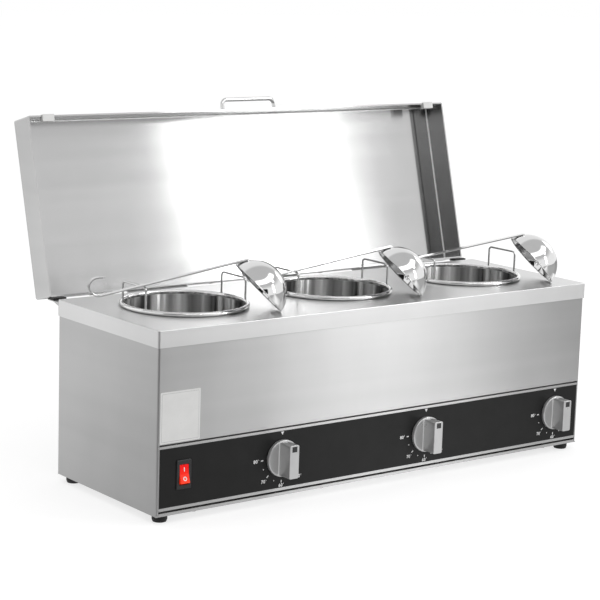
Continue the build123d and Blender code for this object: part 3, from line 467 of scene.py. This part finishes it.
def flat_number(text, height):
    """Outline and faces of a plain number about the origin, from Blender's built-in letters,
    scaled to a height."""
    letters = bpy.data.curves.new("letters", "FONT")
    letters.body = text
    letters.resolution_u = LETTER_STEPS
    letters.space_character = LETTER_SPACE
    letters.offset = LETTER_BOLD
    carrier = add_object("letters", letters)
    bpy.context.view_layer.update()
    seen = carrier.evaluated_get(bpy.context.evaluated_depsgraph_get())
    mesh = bpy.data.meshes.new_from_object(seen)
    points = np.zeros(len(mesh.vertices) * 3)
    mesh.vertices.foreach_get("co", points)
    points = points.reshape(-1, 3)[:, :2]
    faces = [tuple(p.vertices) for p in mesh.polygons]
    bpy.data.objects.remove(carrier)
    middle = (points.max(0) + points.min(0)) / 2
    return (points - middle) * height / np.ptp(points[:, 1]), faces


def close_outwards(mesh):
    """Turns a closed mesh's faces outwards."""
    shape = bmesh.new()
    shape.from_mesh(mesh)
    bmesh.ops.recalc_face_normals(shape, faces=shape.faces)
    shape.to_mesh(mesh)
    shape.free()


def add_piece(name, points, faces, finish, body, thickness=0.0):
    """A new piece of the given points and faces, which moves with its body: a flat print that is
    pushed out by its thickness, or else a closed shape."""
    mesh = bpy.data.meshes.new(name)
    mesh.from_pydata([tuple(point) for point in points], [], faces)
    if not thickness:
        close_outwards(mesh)
    piece = add_object(name, mesh)
    if thickness:
        solid = piece.modifiers.new("thickness", "SOLIDIFY")
        solid.thickness, solid.offset = thickness, 1.0
    mesh.materials.append(finish)
    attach(piece, body)


def printed_piece(name, shapes, place, thickness, finish, body):
    """Flat shapes given as ((points, faces), (x, z)) become one thin raised print: each outline is
    laid on the plane that place gives, its front is pushed out by the thickness and its rim is
    closed."""
    points, faces, start = [], [], 0
    for (outline, outline_faces), (x, z) in shapes:
        level = np.zeros(len(outline))
        points.append(np.column_stack([outline[:, 0] + x, level, outline[:, 1] + z]))
        faces += [tuple(i + start for i in face) for face in outline_faces]
        start += len(outline)
    placed = [place @ Vector(point) for point in np.concatenate(points)]
    add_piece(name, placed, faces, finish, body, thickness)


PRINT_GAP = 0.00001
TICK_RING, NUMBER_RING, POINTER_RING = 0.0318, 0.0368, 0.0336
POINTER_RADIUS, DOT_RADIUS = 0.0029, 0.00075
TICK_WIDTH, TICK_LENGTH = 0.0014, 0.0036
DIAL_STEPS, FIRST_MARK_DEGREES, DEGREES_A_STEP = 7, 270.0, 22.5
FIRST_NUMBER, NUMBER_A_STEP, NUMBER_HEIGHT = 80, 5, 0.0047
NUMBER_SIDE_REACH, NUMBER_SHIFT = 0.0048, 0.0008
MARK_DEPTH, RULE_DEPTH, SIGN_DEPTH = 0.00004, 0.00003, 0.00005
DEGREE_RING, DEGREE_HOLE, DEGREE_SIDES, DEGREE_PLACE = 0.0007, 0.0004, 12, (0.0046, 0.0016)


def dial_marks(number):
    """A pointer mark above the knob, then ticks with numbers and dots between them, stepped round
    the dial from its left side to its foot."""
    middle = box_middle(f"thermostat_shaft_{number}")
    dial = np.array([middle.x, middle.z])
    pointer = flat_ring(POINTER_RADIUS, sides=3, turn=-math.pi / 2)
    shapes = [(pointer, dial + (0.0, POINTER_RING))]
    for step in range(DIAL_STEPS):
        turned = math.radians(FIRST_MARK_DEGREES - DEGREES_A_STEP * step)
        away = np.array([math.sin(turned), math.cos(turned)])
        here = away * TICK_RING + dial
        if step % 2:
            shapes.append((flat_ring(DOT_RADIUS, sides=12), here))
            continue
        bar, bar_faces = flat_bar(TICK_WIDTH, TICK_LENGTH)
        lean = np.array([[away[1], -away[0]], [away[0], away[1]]])
        shapes.append(((bar @ lean, bar_faces), here))
        value = str(FIRST_NUMBER - NUMBER_A_STEP * step)
        reach = NUMBER_RING + NUMBER_SIDE_REACH * abs(away[0])
        spot = away * reach + dial - (NUMBER_SHIFT, 0.0)
        shapes.append((flat_number(value, NUMBER_HEIGHT), spot))
        shapes.append((flat_ring(DEGREE_RING, DEGREE_HOLE, DEGREE_SIDES), spot + DEGREE_PLACE))
    front = Matrix.Translation((0.0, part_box("panel_overlay")[0].y - PRINT_GAP, 0.0))
    printed_piece(f"dial_marks_{number}", shapes, front, MARK_DEPTH, mark_ink, "case")


PLATE_INSET, RULE_WIDTH = 0.0024, 0.00035


def label_rule():
    """One thin ruled line just inside the blank plate's edge."""
    low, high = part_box("label_plate")
    wide, tall = high.x - low.x - 2 * PLATE_INSET, high.z - low.z - 2 * PLATE_INSET
    middle = box_middle("label_plate")
    rules = [(flat_bar(wide, RULE_WIDTH), (middle.x, middle.z + side * tall / 2))
             for side in (-1, 1)]
    rules += [(flat_bar(RULE_WIDTH, tall - RULE_WIDTH), (middle.x + side * wide / 2, middle.z))
              for side in (-1, 1)]
    front = Matrix.Translation((0.0, low.y - PRINT_GAP, 0.0))
    printed_piece("label_rule", rules, front, RULE_DEPTH, rule_ink, "case")


ROCKER_PIVOT_Y, ROCKER_PIVOT_Z = -0.16811, 0.061
ROCKER_TURN, FACET_LEAN = math.radians(-10.0), math.atan2(1.4, 12.0)
FACET_FRONT, FACET_MIDDLE = -0.00433, 0.006
ROCKER_SIGNS = (("rocker_line", flat_bar(0.0013, 0.0052), 1),
                ("rocker_ring", flat_ring(0.0028, 0.0016), -1))


def rocker_signs():
    """The plain line and ring on the rocker's upper and lower facets, turned with the rocker."""
    pivot = Matrix.Translation((box_middle("rocker").x, ROCKER_PIVOT_Y, ROCKER_PIVOT_Z))
    turned = pivot @ Matrix.Rotation(ROCKER_TURN, 4, "X")
    for name, shape, side in ROCKER_SIGNS:
        facet = Matrix.Translation((0.0, FACET_FRONT, side * FACET_MIDDLE))
        place = turned @ facet @ Matrix.Rotation(side * FACET_LEAN, 4, "X")
        printed_piece(name, [(shape, (0.0, 0.0))], place, SIGN_DEPTH, mark_ink,
                      "power_switch")


# ---- the bend in the lid and the beads on the knobs, each brighter than its own part as a painted highlight ----
BEND_RADIUS_MM, BEND_GAP_MM, BEND_STEPS = 1.8, 0.02, 9
LID_OPEN_DEGREES = 104.9
CASE_MIDDLE_X_MM, CASE_MIDDLE_Y_MM = -11.267, 170.21
LID_HALF_INSIDE_MM, LID_PANEL_INSIDE_MM = 367.3, 288.8
LID_FRONT_INSIDE_MM, LID_BACK_INSIDE_MM = -0.1, 241.0
HINGE_Y_MM, HINGE_Z_MM = 253.3, 239.8


def lid_corner_bend():
    """The bend inside the lid, where the panel turns into its side and front walls: a concave
    quarter round carried round three sides of the panel, then turned open about the hinge. Its
    steel is brighter than the lid's, as a painted highlight along the corner.

    A point is radius * (1 - sin t) from the wall and radius * (1 - cos t) from the panel, for t
    from 0 to 90 degrees and never nearer than the gap. The corner itself closes the section."""
    t = np.linspace(0.0, np.pi / 2, BEND_STEPS)
    off_wall = np.append(BEND_RADIUS_MM * (1 - np.sin(t)), BEND_GAP_MM)
    off_panel = np.append(BEND_RADIUS_MM * (1 - np.cos(t)), BEND_GAP_MM)
    off_wall, off_panel = (np.maximum(off, BEND_GAP_MM) for off in (off_wall, off_panel))
    side = np.array([1.0, 1.0, -1.0, -1.0])[:, None]
    front = np.array([0.0, 1.0, 1.0, 0.0])[:, None]
    x = side * (LID_HALF_INSIDE_MM - off_wall)
    y = front * (LID_FRONT_INSIDE_MM + off_wall) + (1 - front) * LID_BACK_INSIDE_MM
    z = np.broadcast_to(LID_PANEL_INSIDE_MM - off_panel, x.shape)
    turned = math.radians(-LID_OPEN_DEGREES)
    dy, dz = y - HINGE_Y_MM, z - HINGE_Z_MM
    y = HINGE_Y_MM + dy * math.cos(turned) - dz * math.sin(turned)
    z = HINGE_Z_MM + dy * math.sin(turned) + dz * math.cos(turned)
    points = np.stack([x - CASE_MIDDLE_X_MM, y - CASE_MIDDLE_Y_MM, z], axis=-1) / 1000.0
    count, last = len(off_wall), len(side) - 1
    station, spot = np.meshgrid(np.arange(last), np.arange(count), indexing="ij")
    after = (spot + 1) % count
    this, following = station * count, (station + 1) * count
    walls = np.stack([this + spot, this + after, following + after, following + spot], axis=-1)
    ends = [tuple(range(count))[::-1], tuple(range(last * count, (last + 1) * count))]
    faces = walls.reshape(-1, 4).tolist() + ends
    add_piece("lid_corner_bend", points.reshape(-1, 3), faces, bend_painted_highlight_steel, "lid")


DISC_DEPTH, BEAD_X, BEAD_RADIUS, BEAD_HALF = 0.0046, 0.0082, 0.0008, 0.0214
BEAD_GAP, BEAD_STEPS = 0.00003, 9


def grip_highlight_beads(number):
    """A pale bead along each foot of a knob's grip bar, on the disc's front, as a painted
    highlight:
    half a cylinder, closed, with points radius * cos t across and radius * sin t forwards for t
    from 0 to 180 degrees, the same at both ends."""
    middle, disc_front = box_middle(f"knob_{number}"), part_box(f"knob_{number}")[1].y - DISC_DEPTH
    t = np.linspace(0.0, np.pi, BEAD_STEPS)
    step = np.arange(BEAD_STEPS)
    after = (step + 1) % BEAD_STEPS
    points, faces = [], []
    for side in (-1, 1):
        start = len(points) * BEAD_STEPS
        x = middle.x + side * BEAD_X + BEAD_RADIUS * np.cos(t)
        y = disc_front + BEAD_GAP - BEAD_RADIUS * np.sin(t)
        for end in (-1, 1):
            z = np.full(BEAD_STEPS, middle.z + end * BEAD_HALF)
            points.append(np.stack([x, y, z], axis=1))
        walls = np.stack([step, after, after + BEAD_STEPS, step + BEAD_STEPS], axis=1)
        faces += (start + walls).tolist()
        faces += [tuple(range(start, start + BEAD_STEPS))[::-1],
                  tuple(range(start + BEAD_STEPS, start + 2 * BEAD_STEPS))]
    add_piece(f"grip_highlight_beads_{number}", np.concatenate(points), faces, painted_highlight_bead,
              f"dial_{number}")


for number in NUMBERS:
    dial_marks(number)
lid_corner_bend()
for number in NUMBERS:
    grip_highlight_beads(number)
label_rule()
rocker_signs()


# ---- floor, world and lamps ----
WHITE = (1.0, 1.0, 1.0, 1.0)
FLOOR_HALF, FLOOR_TONE, FLOOR_ROUGHNESS = 14.0, 0.8, 0.9
CAMERA_GLOW, CAMERA_PAPER, MIRRORED_PAPER = 0.68, 0.45, 0.2
POOL_LEAN, POOL_GLOW, POOL_POWER = 0.85, 0.76, 1.4
SOFT_LIGHT, STRIP_GLOW = 0.72, 2.8
STRIP_TOWARD_X, STRIP_TOWARD_Y = 0.36, 0.93
# Each of these is a level at the start, a level at the end, the start and the end.
POOL_RISE, POOL_FALL = (0.0, 1.0, -0.83, -0.16), (1.0, 0.0, -0.07, 0.37)
NEAR_FLOOR, FAR_FLOOR = (0.36, 0.22, -0.4, 0.1), (0.0, 0.85, 1.0, 1.8)
CEILING, BACKDROP = (1.14, 0.68, 0.33, 0.48), (0.0, 1.05, 0.0, 0.35)
STRIP_BOTTOM, STRIP_TOP = (0.0, 1.0, 0.56, 0.62), (1.0, 0.0, 0.74, 0.82)
STRIP_SIDE = (0.0, 1.0, 0.30, 0.44)


def light_path(tree, kind):
    """1 for rays of one kind, such as Is Camera Ray."""
    return tree.nodes.new("ShaderNodeLightPath").outputs[kind]


def seen_or_mirrored(tree):
    """1 for rays from the camera, from a mirror and through glass."""
    path = tree.nodes.new("ShaderNodeLightPath")
    either = work(tree, "MAXIMUM", path.outputs["Is Camera Ray"], path.outputs["Is Glossy Ray"])
    return work(tree, "MAXIMUM", either, path.outputs["Is Transmission Ray"])


def choose_shader(tree, value, first, second):
    """The first shader where value is 0 and the second where it is 1."""
    choice = tree.nodes.new("ShaderNodeMixShader")
    for socket, source in zip(choice.inputs, (value, first.outputs[0], second.outputs[0])):
        tree.links.new(source, socket)
    return choice


def mirrored_floor(tree):
    """How bright mirrors see the floor: dim near the front, brighter far behind, with one pool at
    the front right that rises slowly and falls again along X plus a share of Y."""
    x, y, _ = split(tree, stretched_coordinates(tree))
    across = add(tree, x, times(tree, y, POOL_LEAN))
    rise = work(tree, "POWER", spread(tree, across, *POOL_RISE), POOL_POWER)
    pool = work(tree, "MINIMUM", rise, spread(tree, across, *POOL_FALL))
    base = work(tree, "MAXIMUM", spread(tree, y, *NEAR_FLOOR), spread(tree, y, *FAR_FLOOR))
    return add(tree, base, times(tree, pool, POOL_GLOW))


def studio_floor():
    """A pale level sheet that stays near white to the camera and keeps a faint shadow."""
    half = FLOOR_HALF
    mesh = bpy.data.meshes.new("studio_floor")
    corners = [(-half, -half, 0), (half, -half, 0), (half, half, 0), (-half, half, 0)]
    mesh.from_pydata(corners, [], [(0, 1, 2, 3)])
    floor = add_object("studio_floor", mesh)
    finish, tree, shader = new_finish("pale_floor")
    set_sockets(shader, Base_Color=(*grey(FLOOR_TONE), 1.0), Roughness=FLOOR_ROUGHNESS,
                Specular_IOR_Level=0.0)
    glow, paper = tree.nodes.new("ShaderNodeEmission"), tree.nodes.new("ShaderNodeBsdfDiffuse")
    to_camera = light_path(tree, "Is Camera Ray")
    elsewhere = times(tree, mirrored_floor(tree), work(tree, "SUBTRACT", 1.0, to_camera))
    strength = work(tree, "MAXIMUM", times(tree, to_camera, CAMERA_GLOW), elsewhere)
    tree.links.new(strength, glow.inputs["Strength"])
    tone = spread(tree, to_camera, MIRRORED_PAPER, CAMERA_PAPER, 0.0, 1.0)
    tree.links.new(tone, paper.inputs["Color"])
    both = tree.nodes.new("ShaderNodeAddShader")
    tree.links.new(glow.outputs[0], both.inputs[0])
    tree.links.new(paper.outputs[0], both.inputs[1])
    choice = choose_shader(tree, seen_or_mirrored(tree), shader, both)
    tree.links.new(choice.outputs[0], tree.nodes["Material Output"].inputs["Surface"])
    mesh.materials.append(finish)


def mirrored_room(tree):
    """How bright mirrors see the room: a ceiling that dims upwards, a white backdrop behind, and a
    bright strip high up on the front right."""
    place = tree.nodes.new("ShaderNodeTexCoord")
    x, y, height = split(tree, place.outputs["Generated"])
    toward_x, toward_y = times(tree, x, STRIP_TOWARD_X), times(tree, y, STRIP_TOWARD_Y)
    toward = work(tree, "SUBTRACT", toward_x, toward_y)
    strip = times(tree, spread(tree, height, *STRIP_BOTTOM), spread(tree, height, *STRIP_TOP))
    strip = times(tree, times(tree, strip, spread(tree, toward, *STRIP_SIDE)), STRIP_GLOW)
    room = work(tree, "MAXIMUM", spread(tree, height, *CEILING), strip)
    return work(tree, "MAXIMUM", room, spread(tree, y, *BACKDROP))


def studio_world():
    """White behind the object, as the camera and the metal see it, and a plain level of light on
    what is matt."""
    world = bpy.data.worlds.new("studio_world")
    bpy.context.scene.world = world
    world.use_nodes = True
    tree = world.node_tree
    soft = tree.nodes["Background"]
    set_sockets(soft, Color=WHITE, Strength=SOFT_LIGHT)
    seen, white = (tree.nodes.new("ShaderNodeBackground") for _ in range(2))
    tree.links.new(mirrored_room(tree), seen.inputs["Color"])
    set_sockets(white, Color=WHITE)
    lit = choose_shader(tree, seen_or_mirrored(tree), soft, seen)
    choice = choose_shader(tree, light_path(tree, "Is Camera Ray"), lit, white)
    tree.links.new(choice.outputs[0], tree.nodes["World Output"].inputs["Surface"])


def card(name, corners, tone):
    """A flat studio card that only mirrors see, never the camera."""
    mesh = bpy.data.meshes.new(name)
    mesh.from_pydata(corners, [], [(0, 1, 2, 3)])
    piece = add_object(name, mesh)
    finish, _, shader = new_finish(name)
    set_sockets(shader, Base_Color=(*grey(tone), 1.0), Roughness=1.0, Specular_IOR_Level=0.0)
    mesh.materials.append(finish)
    piece.visible_camera = piece.visible_diffuse = piece.visible_shadow = False


def softbox(name, place, aim_height, wide, tall, radiance):
    """A rectangular lamp at place that faces a point above the origin. Its power is radiance times
    pi times its area."""
    lamp = bpy.data.lights.new(name, "AREA")
    lamp.shape = "RECTANGLE"
    lamp.size, lamp.size_y = wide, tall
    lamp.energy = radiance * math.pi * wide * tall
    holder = add_object(name, lamp)
    aim = Vector((0.0, 0.0, aim_height)) - Vector(place)
    faced = aim.to_track_quat("-Z", "Y").to_matrix().to_4x4()
    holder.matrix_world = Matrix.Translation(place) @ faced
    holder.visible_camera = False
    return holder


CARD_TOP, CARD_TONE = 1.1, 0.02
CARD_LEFT, CARD_RIGHT = (-2.9, -1.0), (0.5, -2.6)

studio_floor()
studio_world()
softbox("tall_softbox", (3.41, -4.14, 1.75), 0.35, wide=0.6, tall=2.1, radiance=6.5)
softbox("high_softbox", (2.16, -1.92, 2.4), 0.25, wide=0.4, tall=0.8, radiance=8.0)
softbox("right_softbox", (2.6, 0.28, 1.3), 0.3, wide=0.8, tall=0.9, radiance=1.6)
card("camera_card", [(*CARD_LEFT, 0.0), (*CARD_RIGHT, 0.0),
                     (*CARD_RIGHT, CARD_TOP), (*CARD_LEFT, CARD_TOP)], CARD_TONE)
top_softbox = softbox("top_softbox", (-0.2, -0.4, 2.6), 0.2, wide=2.0, tall=1.6, radiance=0.8)
top_softbox.visible_glossy = False
